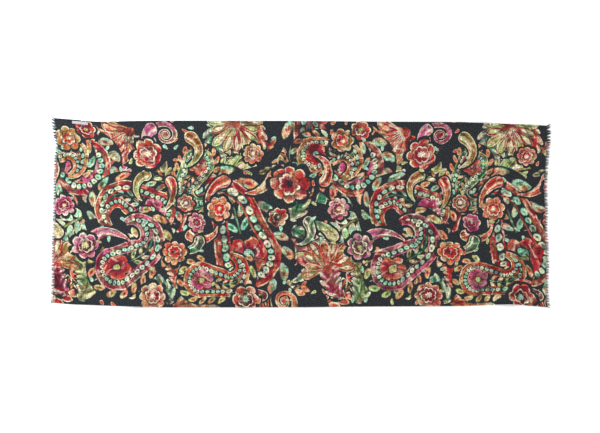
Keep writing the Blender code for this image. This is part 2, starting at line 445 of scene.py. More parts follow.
GROUND, INK = paint_pot(47, 50, 56), paint_pot(54, 26, 34)
BRICK, SCARLET = paint_pot(180, 40, 40), paint_pot(212, 58, 40)
CORAL, PEACH = paint_pot(222, 98, 62), paint_pot(238, 172, 128)
CREAM, LIME = paint_pot(250, 242, 216), paint_pot(206, 212, 146)
SAGE, MINT = paint_pot(124, 154, 90), paint_pot(176, 228, 204)
TEAL, OLIVE = paint_pot(40, 134, 104), paint_pot(184, 138, 58)
CRIMSON, PINK = paint_pot(164, 28, 68), paint_pot(222, 128, 172)
MAROON, RUST = paint_pot(98, 26, 44), paint_pot(188, 86, 40)
LILAC, SLATE = paint_pot(178, 146, 188), paint_pot(98, 103, 112)
print("the ground, as linear colour", [round(part, 4) for part in GROUND[:3]])

# %% [markdown]
# ## The paisley drop
# The main figure is a drop with a curled tip, a form that woven shawls have carried for
# centuries. Its middle line runs straight up and then round an arc. A point's distance from that
# line, less the width there, says how deep it lies inside, and each border, pearl and leaflet is
# a band of that depth.

# %% Paisley drop
BULB, STRAIGHT, LENGTH = 0.27, 0.36, 1.16
# how far in from the outline each band lies
CREST, PALE_LINE, BORDER, STREAK, FIELD, PEARLS, FINE_LINE, MIDDLE = (
    -0.056, -0.006, 0.005, 0.028, 0.048, 0.080, 0.121, 0.130)
# how many crest leaves and pearls there are in the drop's unit of length, and the leaflets' step
CREST_LEAVES, PEARL_COUNT, LEAFLET_STEP = 7.5, 13.0, 0.115


@motif("band glow leafy heart", "curl")
def drop(x, y, wet, band, glow, leafy, heart, curl):
    """Bulb round the origin, straight up to STRAIGHT, then a curl to the left."""
    above = y - STRAIGHT
    bent = greater(y, STRAIGHT)
    from_curl = x + curl
    off_arc = distance(from_curl, above) - curl
    off_line = between(x, off_arc, bent)
    run = between(y, angle_of(above, from_curl) * curl + STRAIGHT, bent)
    low = greater(0.0, y)
    radius = distance(x, y)
    side = size_of(off_line)
    wide = power(1 - run / LENGTH, 0.80) * BULB - 0.004
    depth = between(wide - side, BULB - radius, low)
    round_edge = between(run, angle_of(-y, size_of(x)) * -BULB, low)
    # a crest of small leaves on the outer side, on bare ground
    crest = clamped(greater(off_line, -0.02) + low) * greater(0.88, run)
    yield GROUND, ink(depth + 0.040 + crest * 0.082)
    tooth = (fraction(round_edge * CREST_LEAVES) - 0.5) / CREST_LEAVES
    out = depth - CREST
    lean = tooth - out * 0.5
    petal = root(lean * lean * 1.6 + out * out)
    yield over(leafy, PEACH, wet * 2.5 - 0.85), ink(0.051 - petal, 80) * crest
    yield over(SAGE, band, wet * 3 - 1), ink(0.020 - petal, 60) * crest
    # the border: a pale line, a broad band with a streak in it, then bare ground
    yield over(glow, CREAM, wet * 3.0 - 1.0), ink(depth - PALE_LINE, 120)
    yield over(band, glow, wet * 2.4 - 1.05), ink(depth - BORDER, 120)
    streak = ink(0.0035 - size_of(depth - STREAK), 110)
    yield over(MAROON, PEACH, wet * 4 - 1.8), streak * 0.9
    yield GROUND, ink(depth - FIELD, 120)
    # pearls, and the thin line inside them
    bead = (fraction(round_edge * PEARL_COUNT) - 0.5) / PEARL_COUNT
    row = depth - PEARLS
    ring = root(bead * bead + row * row * 1.3) + wet * 0.010
    yield over(CREAM, MINT, wet * 3.0 - 0.9), ink(0.036 - ring, 120)
    yield over(TEAL, CORAL, wet * 4 - 2.0), ink(0.014 - ring, 120)
    line = ink(0.007 - size_of(depth - FINE_LINE), 120)
    yield over(glow, band, wet * 2.5 - 1.0), line
    # leaflets in pairs up the middle line
    step = (fraction(run / LEAFLET_STEP + 0.3) - 0.5) * LEAFLET_STEP
    slant = step - (side - 0.050) * 0.8
    bud = root(slant * slant * 1.5 + (side - 0.060) * (side - 0.060))
    inside = within(run, 0.19, 0.92) * ink(depth - MIDDLE, 90)
    yield over(leafy, PEACH, wet * 2.5 - 1.25), ink(0.043 - bud, 110) * inside
    yield over(TEAL, CREAM, wet * 3.0 - 1.2), ink(0.020 - bud, 110) * inside
    yield TEAL, ink(0.007 - side) * inside
    # a flower in the bulb
    turn = angle_of(y + 0.01, x) * 3.0
    petals = power(size_of(cosine(turn)), 0.6) * 0.050 + 0.112
    reach = radius + wet * 0.05 - 0.025
    yield over(heart, PEACH, wet * 2.5 - 1.0), ink(petals - reach, 110)
    yield over(CRIMSON, heart, reach * 11.0 - 0.7), ink(petals - 0.012 - reach, 110)
    split = ink(0.010 - size_of(cosine(turn)) * reach, 110)
    yield INK, split * ink(petals - reach) * greater(reach, 0.05)
    yield INK, ink(0.055 - reach, 110)
    yield leafy, ink(0.042 - reach, 110)


# %% [markdown]
# ## Flowers
# A round flower is easiest in polar form: its outline is a radius that swells and shrinks with
# the angle. Two rings of petals and a small starry eye fill it, and a margin of bare ground sets it
# off from what lies under it.

# %% Round flower
FLOWER_EDGE = 24


@motif("rim heart eye", "petals")
def flower(x, y, wet, rim, heart, eye, petals):
    """A flower of radius 1 with two rings of petals."""
    turn = angle_of(y, x)
    radius = distance(x, y) + wet * 0.16 - 0.08
    half = turn * petals * 0.5
    swell = size_of(cosine(half))
    depth = power(swell, 0.45) * 0.30 + 0.70 - radius
    yield GROUND, ink(depth + 0.26, FLOWER_EDGE)
    yield over(rim, CREAM, wet * 3.0 - 0.9), ink(depth, FLOWER_EDGE)
    bloom = radius * 2.6 - 1.9 + wet * 1.2
    yield over(heart, rim, bloom), ink(depth - 0.09, FLOWER_EDGE)
    split = ink(0.075 - swell * radius * 0.5, FLOWER_EDGE) * ink(depth - 0.03, FLOWER_EDGE)
    yield over(MAROON, heart, wet * 2 - 0.8), split * 0.9
    inner = power(size_of(sine(half)), 0.5) * 0.16 + 0.42 - radius
    yield INK, ink(inner + 0.06, FLOWER_EDGE) * 0.9
    yield over(CREAM, rim, wet * 2.5 - 0.9), ink(inner, FLOWER_EDGE)
    yield heart, ink(inner - 0.10, FLOWER_EDGE)
    dots = size_of(sine(turn * 4.0)) * 0.13 + 0.09
    yield eye, ink(dots - radius, FLOWER_EDGE)


# %% [markdown]
# ## Leaves, plumes and strokes
# Leaves, plumes, sprigs and comma strokes all bend. Two measures along an arc do this for each of
# them: how far along the arc a point lies, and how far to one side of it. The lobes of a leaf are
# the humps of a sine that slants back from the midrib.

# %% Lobed leaf
def along_arc(x, y, bend):
    """How far along an arc of radius bend, and how far to its inner side, a point lies."""
    rise = bend - y
    return bend * angle_of(x, rise), bend - distance(x, rise)


@motif("base tip edge", "bend width lobes cut")
def leaf(x, y, wet, base, tip, edge, bend, width, lobes, cut):
    """A leaf of length 1 from the origin towards +x, bending to +y, with round lobes."""
    run, off = along_arc(x, y, bend)
    side, share = size_of(off), clamped(run)
    on = within(run, 0.002, 0.998)
    hull = power(sine(power(share, 0.75) * pi), 0.6) * (1.15 - share * 0.45) * width
    lobe = size_of(sine((run - side * 0.9) * lobes * pi))
    depth = hull * (1 - cut + power(lobe, 0.55) * cut) - side
    yield GROUND, ink(depth + 0.050, 60) * on
    yield over(edge, tip, wet * 3.0 - 1.5), ink(depth + 0.004, 80) * on
    outward = side / hull
    colour = over(base, tip, outward * 1.3 - 1.1 + wet * 1.4)
    yield colour, ink(depth - 0.014, 80) * on
    notch = ink(0.34 - lobe + outward * 0.30, 5) * ink(depth - 0.002, 60) * greater(outward, 0.22)
    yield over(base, INK, 0.55), notch * on * 0.85
    light = ink(lobe - 0.90, 12) * ink(outward - 0.40, 6) * ink(0.86 - outward, 8)
    yield edge, light * on * 0.85
    midrib = ink((1.3 - share) * 0.011 - side, 80) * ink(depth, 60)
    yield over(base, INK, 0.6), midrib * on


# %% Plume, sprig and stroke
PLUME_TEETH, SPRIG_STEP = 13.0, 0.13


@motif("spine comb edge", "bend width")
def plume(x, y, wet, spine, comb, edge, bend, width):
    """A feather of length 1: a tapering spine, and teeth on the inner side of its bend."""
    run, off = along_arc(x, y, bend)
    share = clamped(run)
    on = within(run, 0.0, 1.0)
    reach = power(sine(power(share, 0.7) * pi), 0.7) * width
    yield GROUND, ink(reach + 0.05 - size_of(off), 60) * on
    tooth = size_of(fraction((run + off * 0.9) * PLUME_TEETH) - 0.5)
    teeth = ink(0.30 - tooth - off / width * 0.10, 9) * ink(reach - off, 60) * greater(off, 0.0)
    yield over(comb, edge, wet * 3.0 - 1.3), teeth * on
    taper = power(1 - share, 0.5) * width * 0.30 + 0.004 - size_of(off + width * 0.12)
    yield over(edge, comb, wet * 3.0 - 1.6), ink(taper + 0.012, 80) * on
    yield over(spine, comb, wet * 2.4 - 1.2 + share * 0.3), ink(taper, 80) * on


@motif("stem leafy tip", "bend width")
def sprig(x, y, wet, stem, leafy, tip, bend, width):
    """A thin stem of length 1 with small leaves by turns on its two sides."""
    run, off = along_arc(x, y, bend)
    side = size_of(off)
    on = within(run, 0.0, 1.0)
    step = (fraction(run / SPRIG_STEP + greater(off, 0.0) * 0.5) - 0.5) * SPRIG_STEP
    out = side - width
    across, down = step * 0.75 - out * 0.66, step * 0.66 + out * 0.75
    bud = root(across * across * 3.0 + down * down)
    yield stem, ink(0.014 - side, 60) * on
    yield over(CREAM, tip, wet * 2.5 - 1.0), ink(width * 0.95 - bud, 80) * on
    colour = over(leafy, tip, run * 1.2 - 1.6 + wet * 2)
    yield colour, ink(width * 0.68 - bud, 80) * on


@motif("body tip edge", "bend width")
def stroke(x, y, wet, body, tip, edge, bend, width):
    """A comma: a round head at the origin and a tail of length 1 that bends to +y."""
    run, off = along_arc(x, y, bend)
    tail = width * power(1 - clamped(run), 0.8) - size_of(off)
    depth = between(tail, width - distance(x, y), greater(0.0, run)) - 0.004
    on = greater(0.96, run)
    yield GROUND, ink(depth + 0.070, 50) * on
    yield over(edge, tip, wet * 2.5 - 1.3), ink(depth + 0.010, 70) * on
    yield over(body, tip, run * 1.6 - 1.1 + wet * 1.2), ink(depth - 0.010, 70)
    light = width * 0.20 - size_of(off - width * 0.35) - width * clamped(run) * 0.2
    yield edge, ink(light, 70) * ink(depth - 0.02, 50) * 0.9
    shade = width * 0.16 - size_of(off + width * 0.30) - width * clamped(run) * 0.14
    yield over(body, INK, 0.6), ink(shade, 70) * ink(depth - 0.02, 50) * 0.9


# %% [markdown]
# ## Scrolls, fans and scattered buds
# A scroll is a logarithmic spiral, where the angle less the logarithm of the radius is constant.
# A fan folds the angle into equal parts and draws one petal in each. Small buds fill what bare
# ground is left: a Voronoi texture gives each cell its own point and its own random colour.

# %% Scroll, fan and buds
SCROLL_EDGE = 30


@motif("outer inner", "windings")
def scroll(x, y, wet, outer, inner, windings):
    """A spiral arm of radius 1 round a dot."""
    radius = distance(x, y)
    turn = angle_of(y, x) / (2 * pi)
    arm = size_of(fraction(turn - natural_log(radius) * windings) - 0.5) * 2
    body = ink(1.0 - radius, SCROLL_EDGE)
    depth = (0.50 - arm) * radius
    yield GROUND, ink(1.1 - radius, SCROLL_EDGE)
    yield over(CREAM, outer, wet * 2.5 - 1.0), ink(depth + 0.04, SCROLL_EDGE) * body
    colour = over(inner, outer, radius * 1.4 - 1.2 + wet * 1.6)
    yield colour, ink(depth - 0.05, SCROLL_EDGE) * body
    yield inner, ink(0.17 - radius, SCROLL_EDGE)


@motif("first second edge", "count spread sweep")
def fan(x, y, wet, first, second, edge, count, spread, sweep):
    """Round-ended petals about +y, swept to one side, in two colours by turns."""
    radius = distance(x, y)
    swept = (radius - 0.4) * (radius - 0.4) * sweep
    turn = angle_of(x, y) - swept
    step = spread / count
    cell = turn / step + 0.5
    part = size_of(fraction(cell) - 0.5) * step * radius
    number = whole(cell)
    chance = fraction(number * 0.38 + 0.2)
    reach = chance * 0.26 + 0.74 - size_of(number) / count * 0.30
    share = clamped(radius / reach)
    petal = power(sine(power(share, 1.7) * pi), 0.6) * (share * 0.75 + 0.15)
    depth = petal * step * 0.42 - part
    on = greater((spread + step) * 0.5, size_of(turn)) * greater(reach, radius)
    yield GROUND, ink(depth + 0.035, 50) * on
    yield over(edge, first, wet * 3.0 - 1.0), ink(depth + 0.006, 60) * on
    mixing = greater(chance, 0.5) + share * 1.2 - 1.52 + wet * 1.4
    yield over(first, second, mixing), ink(depth - 0.014, 60) * on
    outer = on * greater(share, 0.40)
    yield INK, ink(depth - 0.048, 60) * outer * 0.85
    yield over(second, edge, wet * 3 - 1.2), ink(depth - 0.064, 60) * outer
    yield first, ink(0.12 - radius, 40)


def buds(paint, place, free, cells, chance):
    """Small buds, round below and pointed above, where free is 1.

    There is one in this share of the texture's cells, turned by the cell's own random number.
    """
    texture = place.node("ShaderNodeTexVoronoi", {"voronoi_dimensions": "2D"},
                         {"Vector": place, "Scale": cells, "Randomness": 0.6}, "Position")
    voronoi = texture.socket.node
    one, two, three = parts_of(Wire(voronoi.outputs["Color"]))
    turned = place.node("ShaderNodeVectorRotate", {"rotation_type": "Z_AXIS"},
                        {"Vector": (place - texture) * cells, "Angle": one * 44})
    x, y, _ = parts_of(turned)
    depth = 0.29 - root(x * x * maths("MAXIMUM", y * 9.0 + 4.2, 0.0) + y * y)
    colour = over(over(CORAL, LIME, three * 2 - 0.5), MINT, greater(two, 0.62))
    shown = greater(chance, fraction(one * 29.0)) * free
    paint = over(paint, over(colour, CREAM, 0.5), ink(depth, 14) * shown)
    return over(paint, colour, ink(depth - 0.08, 14) * shown)


# %% [markdown]
# ## The layout of one repeat
# The print repeats about every metre along the scarf and never across it. Each row below puts one
# motif on the cloth. Later rows lie over earlier ones, so stems and leaves come first, then the
# drops, and the small flowers last.

# %% Table of motifs
LAYOUT = [
    # motif, x cm, y cm, turn, size cm (below 0 where it is mirrored), then its own inputs
    (sprig, -48, -8, 70, 26, OLIVE, SAGE, LIME, 0.9, 0.10),
    (sprig, -8, 22, -30, 22, OLIVE, LIME, PEACH, 0.9, 0.10),
    (sprig, 21, -2, 200, 26, SAGE, MINT, LIME, 0.8, 0.10),
    (sprig, 42, -30, 120, -24, OLIVE, LIME, CORAL, 0.9, 0.10),
    (sprig, -2, -10, 250, -26, OLIVE, CORAL, PEACH, 0.7, 0.10),
    (sprig, -26, 16, 100, -20, TEAL, LIME, CREAM, 0.7, 0.10),
    (sprig, 10, -32, 20, 24, OLIVE, SCARLET, PEACH, 0.9, 0.10),
    (sprig, 36, 4, 80, 22, SAGE, PINK, LIME, 0.9, 0.10),
    (sprig, 12, 12, 170, 18, OLIVE, RUST, LIME, 0.6, 0.11),
    (sprig, -14, -22, 300, 18, RUST, OLIVE, PEACH, 0.6, 0.11),
    (leaf, -27, 34, 205, 26, TEAL, MINT, CREAM, 0.36, 0.16, 8, 0.62),
    (leaf, -23, 33, 262, 20, CRIMSON, CORAL, PEACH, 0.38, 0.16, 7, 0.62),
    (leaf, -19, 34, 320, -22, SCARLET, LIME, CREAM, 0.36, 0.16, 8, 0.62),
    (leaf, -4, -2, 40, 30, TEAL, LIME, CREAM, 0.34, 0.14, 10, 0.62),
    (leaf, -3, -6, -10, -26, TEAL, MINT, CREAM, 0.36, 0.15, 9, 0.62),
    (leaf, -4, -9, -70, 24, CRIMSON, PINK, PEACH, 0.44, 0.16, 6, 0.45),
    (leaf, 36, 7, 55, -26, OLIVE, LIME, CREAM, 0.36, 0.16, 9, 0.62),
    (leaf, 34, 5, 110, 22, TEAL, LIME, CREAM, 0.38, 0.16, 8, 0.62),
    (leaf, -46, -34, 30, -28, RUST, PEACH, CREAM, 0.36, 0.16, 9, 0.62),
    (leaf, -48, -33, 85, 22, TEAL, MINT, CREAM, 0.36, 0.16, 8, 0.62),
    (leaf, 16, -30, 155, -24, CRIMSON, PINK, CREAM, 0.36, 0.16, 8, 0.62),
    (leaf, 20, -32, 40, 24, SAGE, LIME, CREAM, 0.36, 0.16, 8, 0.62),
    (leaf, -46, -27, 60, 20, SCARLET, PEACH, CREAM, 0.36, 0.16, 7, 0.60),
    (plume, -54, -14, 25, 24, TEAL, MINT, CREAM, 0.36, 0.22),
    (plume, 8, 4, 75, -22, TEAL, LIME, CREAM, 0.34, 0.24),
    (plume, 36, 32, 250, 22, SCARLET, PEACH, CREAM, 0.36, 0.22),
    (plume, -16, -34, 70, -20, CRIMSON, CORAL, CREAM, 0.34, 0.24),
    (fan, -6, -22, 60, 15, CRIMSON, LIME, CREAM, 7, 3.0, 2.0),
    (fan, 16, 9, -60, 14, CRIMSON, PINK, CREAM, 6, 2.8, -2.0),
    (fan, 38, 30, 150, 15, BRICK, PEACH, CREAM, 7, 3.0, 1.5),
    (fan, -26, 10, 30, 14, SAGE, LIME, CREAM, 6, 2.8, 2.0),
    (drop, -19, -15, 18, 44, BRICK, SCARLET, MINT, SCARLET, 0.24),
    (drop, 20, 17, -118, -39, CRIMSON, SCARLET, MINT, PINK, 0.22),
    (drop, 47, 1, 60, 29, BRICK, SCARLET, MINT, PINK, 0.22),
    (drop, 5, 22, 100, -24, OLIVE, PEACH, MINT, SCARLET, 0.22),
    (drop, 34, -20, -60, 30, CRIMSON, PINK, LIME, CORAL, 0.22),
    (drop, -36, -24, -100, 24, SCARLET, OLIVE, LIME, PINK, 0.22),
    (drop, -38, 18, 150, 22, TEAL, LIME, PEACH, SCARLET, 0.22),
    (fan, -24, 33, 180, 13, BRICK, LIME, CREAM, 9, 3.8, 0.0),
    (fan, 10, -20, 10, 13, SCARLET, OLIVE, CREAM, 8, 3.4, 0.0),
    (scroll, -50, 29, 0, 5, PINK, CRIMSON, 1.1),
    (scroll, -6, -32, 80, -5, PEACH, SCARLET, 1.1),
    (stroke, -28, 12, 200, 14, CORAL, CRIMSON, CREAM, 0.7, 0.15),
    (stroke, 12, -8, 120, 14, LIME, TEAL, CREAM, 0.7, 0.15),
    (stroke, -10, 14, 250, -14, PEACH, SCARLET, CREAM, 0.7, 0.15),
    (stroke, 26, -8, 30, -14, PINK, CRIMSON, CREAM, 0.7, 0.15),
    (stroke, -48, 12, 300, -12, SCARLET, OLIVE, CREAM, 0.7, 0.15),
    (stroke, -40, -8, 320, 13, SCARLET, PEACH, CREAM, 0.45, 0.16),
    (stroke, -37, -10, 250, -12, TEAL, LIME, CREAM, 0.45, 0.16),
    (stroke, -14, -30, 140, 12, CRIMSON, CORAL, CREAM, 0.45, 0.16),
    (stroke, 44, 14, 200, 12, OLIVE, LIME, CREAM, 0.45, 0.16),
    (stroke, 46, 31, 215, 13, PINK, LILAC, CREAM, 0.42, 0.16),
    (stroke, -41, 28, 330, -14, OLIVE, LIME, CREAM, 0.42, 0.16),
    (stroke, 9, 12, 50, 13, SCARLET, PEACH, CREAM, 0.42, 0.16),
    (stroke, 3, -3, 310, -12, TEAL, MINT, CREAM, 0.40, 0.16),
    (flower, -4, 11, 0, 7.0, CORAL, CRIMSON, INK, 8),
    (flower, -30, 2, 12, 4.5, PEACH, SCARLET, CREAM, 7),
    (flower, 14, 2, 12, 4.0, PINK, CRIMSON, CREAM, 8),
    (flower, 44, 22, 30, 5.5, SCARLET, CRIMSON, CREAM, 7),
    (flower, -46, -14, 0, 4.5, PEACH, SCARLET, MAROON, 8),
    (flower, 22, -12, 0, 5.0, PINK, MAROON, LIME, 7),
    (flower, -20, -31, 0, 5.0, SCARLET, MAROON, MINT, 6),
    (flower, 15, 27, 0, 4.5, OLIVE, SCARLET, CREAM, 7),
    (flower, 47, -30, 0, 5.0, PEACH, CRIMSON, CREAM, 8),
    (flower, -18, 22, 0, 3.6, PEACH, CRIMSON, CREAM, 8),
    (flower, 22, 31, 0, 3.6, SCARLET, CRIMSON, LIME, 7),
    (flower, -42, 4, 0, 3.2, CORAL, CRIMSON, CREAM, 7),
    (flower, -38, -3, 0, 3.4, PINK, CRIMSON, MINT, 7),
    (flower, -8, -1, 0, 3.6, SCARLET, MAROON, CREAM, 7),
]
print(len(LAYOUT), "motifs in one repeat of", PRINT_REPEAT, "m")

# %% [markdown]
# ## Painting the print
# Clean shapes look like a computer's, so a painter's hand is added in steps. Noise pushes about
# the place that the motifs read, and a second noise, for wet paint, blends each motif's colours.
# Small buds fill the bare ground. Washes of other hues flow over the motifs, and the pigment
# pools dark in some places and stays thin and pale in others. Last, each thread takes the colour
# unevenly, and slate specks show in the ground.

# %% How the print is painted
WASH = [(0.00, MAROON), (0.36, CRIMSON), (0.43, PINK), (0.47, SCARLET), (0.51, CREAM),
        (0.55, LIME), (0.60, MINT), (0.68, TEAL)]
WASH_STRENGTH, POOL_STRENGTH, DEEPENING = 0.20, 0.56, 1.46
FINE_SHAKE, BROAD_SHAKE = 0.004, 0.010
BUD_CELLS, BUD_SHARE = 27.0, 0.28
THREAD_LONG, THREAD_SHORT = 50.0, 260.0


def placed_motif(paint, place, wet, kind, x, y, turn, size, *own):
    """Lays one row of the table over the paint, with centimetres and degrees made into metres
    and radians."""
    names = [item.name for item in kind.interface.items_tree if item.in_out == "INPUT"]
    values = [paint, place, wet, (x / 100, y / 100, 0), -radians(turn),
              (100 / abs(size), 100 / size, 1), *own]
    return place.node("ShaderNodeGroup", {"node_tree": kind}, dict(zip(names, values)))


def painted(fabric):
    """The colour of the print at a place on the fabric: every row of the table, then the brush."""
    shake = noise(fabric, 45, 1, 1) * FINE_SHAKE + noise(fabric, 12, 1, 1) * BROAD_SHAKE
    place = fabric + shake - (FINE_SHAKE + BROAD_SHAKE) / 2
    wet = noise(place, 19, 2) * 2.0 - 0.5
    paint = place.node("ShaderNodeCombineColor", {}, dict(enumerate(GROUND[:3])))
    for row in LAYOUT:
        paint = placed_motif(paint, place, wet, *row)
    # covered is 1 on the motifs and 0 on the bare ground, where the buds go
    contrast = paint.node("ShaderNodeVectorMath", {"operation": "DISTANCE"},
                          {0: paint, 1: GROUND[:3]}, "Value")
    covered = clamped((contrast - 0.03) * 12)
    paint = buds(paint, place, 1 - covered, BUD_CELLS, BUD_SHARE)
    # washes of other hues, then pigment that flows, pools dark and stays pale
    hues = paint.node("ShaderNodeValToRGB", {"stops": WASH}, {0: noise(fabric, 13, 2)})
    paint = over(paint, hues, covered * WASH_STRENGTH)
    flowing = place + noise(place, 9, 1, 1) * 0.20
    pigment = noise(flowing, 30, 2)
    paint = over(paint, INK, clamped((0.45 - pigment) * 7) * covered * POOL_STRENGTH)
    paint = over(paint, CREAM, clamped((pigment - 0.575) * 9) * covered * POOL_STRENGTH)
    # uneven threads both ways, mottling, and specks that show mostly in the ground
    warp = noise(fabric * (THREAD_LONG, THREAD_SHORT, 0.0), 1, 1)
    weft = noise(fabric * (THREAD_SHORT, THREAD_LONG, 0.0), 1, 1)
    deep = paint.node("ShaderNodeGamma", {}, {0: paint, 1: DEEPENING})
    specks = clamped(noise(fabric, 270, 1) * 3.2 - 1.3) * (0.24 - covered * 0.20)
    mottle = noise(fabric, 110, 1) + 0.56
    return over(deep * (warp + weft - 0.22) * mottle, SLATE, specks)


painted_print = make_group("painted_print", {"fabric": "vector"}, painted)


# %% [markdown]
# ## Wool cloth
# The cloth is a light worsted in a plain weave. Its threads lie about a millimetre apart, so they
# are bump, not mesh: two waves at right angles, raised and sunk by turns, made uneven by noise.
# Sheen stands for the fine hairs that catch light at a low angle.

# %% Wool materials
THREAD_PITCH = 0.0011
THREAD_GREY = paint_pot(120, 120, 122)


def new_material(name, settings):
    """A material with these values set on its Principled shader. Returns it and the shader."""
    material = bpy.data.materials.new(name)
    material.use_nodes = True
    shader = material.node_tree.nodes["Principled BSDF"]
    for socket, value in settings.items():
        shader.inputs[socket].default_value = value
    return material, shader


def fabric_material(name, settings, draw, strength, rise):
    """A material whose colour, roughness and height are worked out from the place on the fabric.

    The light falls as if the surface rose by this many metres where the height rises by 1.
    """
    material, shader = new_material(name, settings)
    place = shader.id_data.nodes.new("ShaderNodeUVMap")
    place.uv_map = "fabric"
    colour, roughness, height = draw(Wire(place.outputs[0]))
    bump = height.node("ShaderNodeBump", {}, {"Strength": strength, "Distance": rise,
                                              "Height": height})
    for wire, socket in [(colour, "Base Color"), (roughness, "Roughness"), (bump, "Normal")]:
        wire.tree.links.new(wire.socket, shader.inputs[socket])
    return material


def weave_height(fabric):
    """A plain weave: the product of two waves, with uneven threads."""
    uneven = noise(fabric, 300, 1, 1) * 0.0012
    along, across, _ = parts_of((fabric + uneven) * (pi / THREAD_PITCH))
    return sine(along) * sine(across) * 0.5 + noise(fabric, 900, 2)


def wool(name, fade):
    """Printed wool. Where threads hang loose, the print is fainter: fade is how much."""
    def draw(fabric):
        paint = fabric.node("ShaderNodeGroup", {"node_tree": painted_print}, {0: fabric})
        height = weave_height(fabric)
        return over(paint, THREAD_GREY, height * 0.04 + fade), height * 0.08 + 0.80, height

    hairs = {"Sheen Weight": 0.30, "Sheen Roughness": 0.45, "Specular IOR Level": 0.15}
    return fabric_material(name, hairs, draw, 0.35, 0.0004)


printed_wool, loose_wool = wool("printed_wool", 0.00), wool("loose_wool", 0.03)
print("materials", [material.name for material in bpy.data.materials])

# %% [markdown]
# ## The cloth
# The cloth's solid is a wall of even thickness, and this piece keeps that form on a finer grid.
# Its loop of points crosses the top from edge to edge and comes back underneath.

# %% Build the cloth
CLOTH_ROWS, CLOTH_COLUMNS = 290, 112


def dress(thing, slot, *replaced):
    """Makes a finished piece part of the scarf, in place of these plain nodes."""
    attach(thing, "root")
    if replaced:
        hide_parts(*replaced)
    return thing


def make_shell(name, along, across, low, high, material):
    """A closed wall: in each row the loop crosses the top and comes back underneath.

    low and high are heights above the cloth's own underside.
    """
    rows, columns = np.meshgrid(along, across, indexing="ij")
    top, below = cloth_at(rows, columns, high), cloth_at(rows, columns, low)
    points = np.concatenate([top, below[:, ::-1]], axis=1)
    places = fabric_place(rows, columns)
    places = np.concatenate([places, places[:, ::-1]], axis=1)
    return object_from(name, points, band_faces(len(along), 2 * len(across)), places, material)


cloth = make_shell("scarf_cloth", np.linspace(0, 1, CLOTH_ROWS), np.linspace(0, 1, CLOTH_COLUMNS),
                   0.0, CLOTH_THICKNESS, printed_wool)
dress(cloth, "printed_wool", "cloth")

# %% [markdown]
# ## Rolled hems
# Each long edge is rolled over once and caught down by small slanting stitches. The roll is a low
# round band that sits on the cloth and pinches in a little at every stitch.

# %% Build the hems and their stitches
SEAM_GAP, WIDTH_AS_IT_LIES = 0.0003, 0.676
HEM_WIDTH, HEM_THICKNESS, HEM_COLUMNS = 0.0045, 0.0012, 7
HEM_SHARE = HEM_WIDTH / WIDTH_AS_IT_LIES
HEM_SIDE, PINCH = 0.62, 0.12
STITCH_PITCH, STITCH_RADIUS = 0.0050, 0.00016
STITCH_SLANT, STITCH_START, STITCH_REACH = 0.3, 0.35, 0.85
HEM_STITCHES = round(CLOTH_LENGTH / STITCH_PITCH)


def hem_across(side, inward):
    """Share of the cloth's width, this many hem widths in from a long edge: 0 lower, 1 upper."""
    return side + (1 - 2 * side) * inward * HEM_SHARE


def hem_crown(along, inward):
    """Height of the roll: the top of a sine across it, and a little lower at each stitch."""
    round_top = HEM_SIDE + (1 - HEM_SIDE) * np.sin(pi * np.clip(inward * 0.92 + 0.04, 0, 1))
    pinch = 1 + PINCH * np.cos(along * HEM_STITCHES * 2 * pi)
    return HEM_THICKNESS * round_top * pinch


def make_hem(name, side):
    """The band on one long edge, with a row of points at each stitch and between two."""
    along = np.linspace(0, 1, HEM_STITCHES * 2 + 1)
    inward = np.linspace(0, 1, HEM_COLUMNS)
    base = CLOTH_THICKNESS + SEAM_GAP
    crown = hem_crown(along[:, None], inward[None, :])
    return make_shell(name, along, hem_across(side, inward), base, base + crown, printed_wool)


def sew(name, along, across, lift, material):
    """Stitches (stitch, station): thin strands at these shares of the cloth, lifted off it."""
    points, faces = strands(cloth_at(along, across, lift), np.full(along.shape, STITCH_RADIUS), 4)
    places = np.broadcast_to(fabric_place(along, across)[:, :, None], points.shape[:3] + (2,))
    return object_from(name, points, faces, places, material)


def sew_hem(name, side, material):
    """A slanting stitch over the roll at each pinch: out of the cloth, over, and in again.

    Its height is the roll's times the end of a half sine, and none past the roll.
    """
    number = np.arange(HEM_STITCHES)[:, None]
    way = np.linspace(0, 1, 6)[None, :]
    along = (number + (1 - STITCH_SLANT) / 2 + STITCH_SLANT * way) / HEM_STITCHES
    inward = STITCH_START + STITCH_REACH * way
    over_roll = np.where(inward < 1, hem_crown(along, np.clip(inward, 0, 1)), 0)
    lift = CLOTH_THICKNESS + SEAM_GAP + over_roll * np.sin(pi * np.clip(way * 0.8 + 0.2, 0, 1))
    return sew(name, along, hem_across(side, inward), lift, material)


LINT = paint_pot(150, 148, 144)


def thread_material(name, colour, roughness):
    """Twisted sewing thread: fine slanting ridges, and colour that is a little uneven."""
    def draw(fabric):
        along, across, _ = parts_of(fabric * 9000.0)
        uneven = noise(fabric, 400, 1)
        return over(colour, LINT, uneven * 0.35), uneven * 0.2 + roughness, sine(along + across)

    twist = {"Sheen Weight": 0.15, "Sheen Roughness": 0.4, "Specular IOR Level": 0.3}
    return fabric_material(name, twist, draw, 0.4, 0.0001)


hem_thread = thread_material("charcoal_thread", paint_pot(44, 44, 48), 0.6)
for side, name in enumerate(["hem_lower", "hem_upper"]):
    dress(make_hem(f"rolled_{name}", side), "hem_wool", name)
    dress(sew_hem(f"{name}_stitches", side, hem_thread), "hem_wool")

# %% [markdown]
# ## The fringe
# At each short end the weft was drawn out, so only the long warp threads are left. They lie
# loose and lean together in small locks. At the two upper corners the locks are longer, thicker
# and clearer, and they fly outwards. One array holds every station of every thread: a root on
# the cloth's end, a length, a lean and a slow wave.

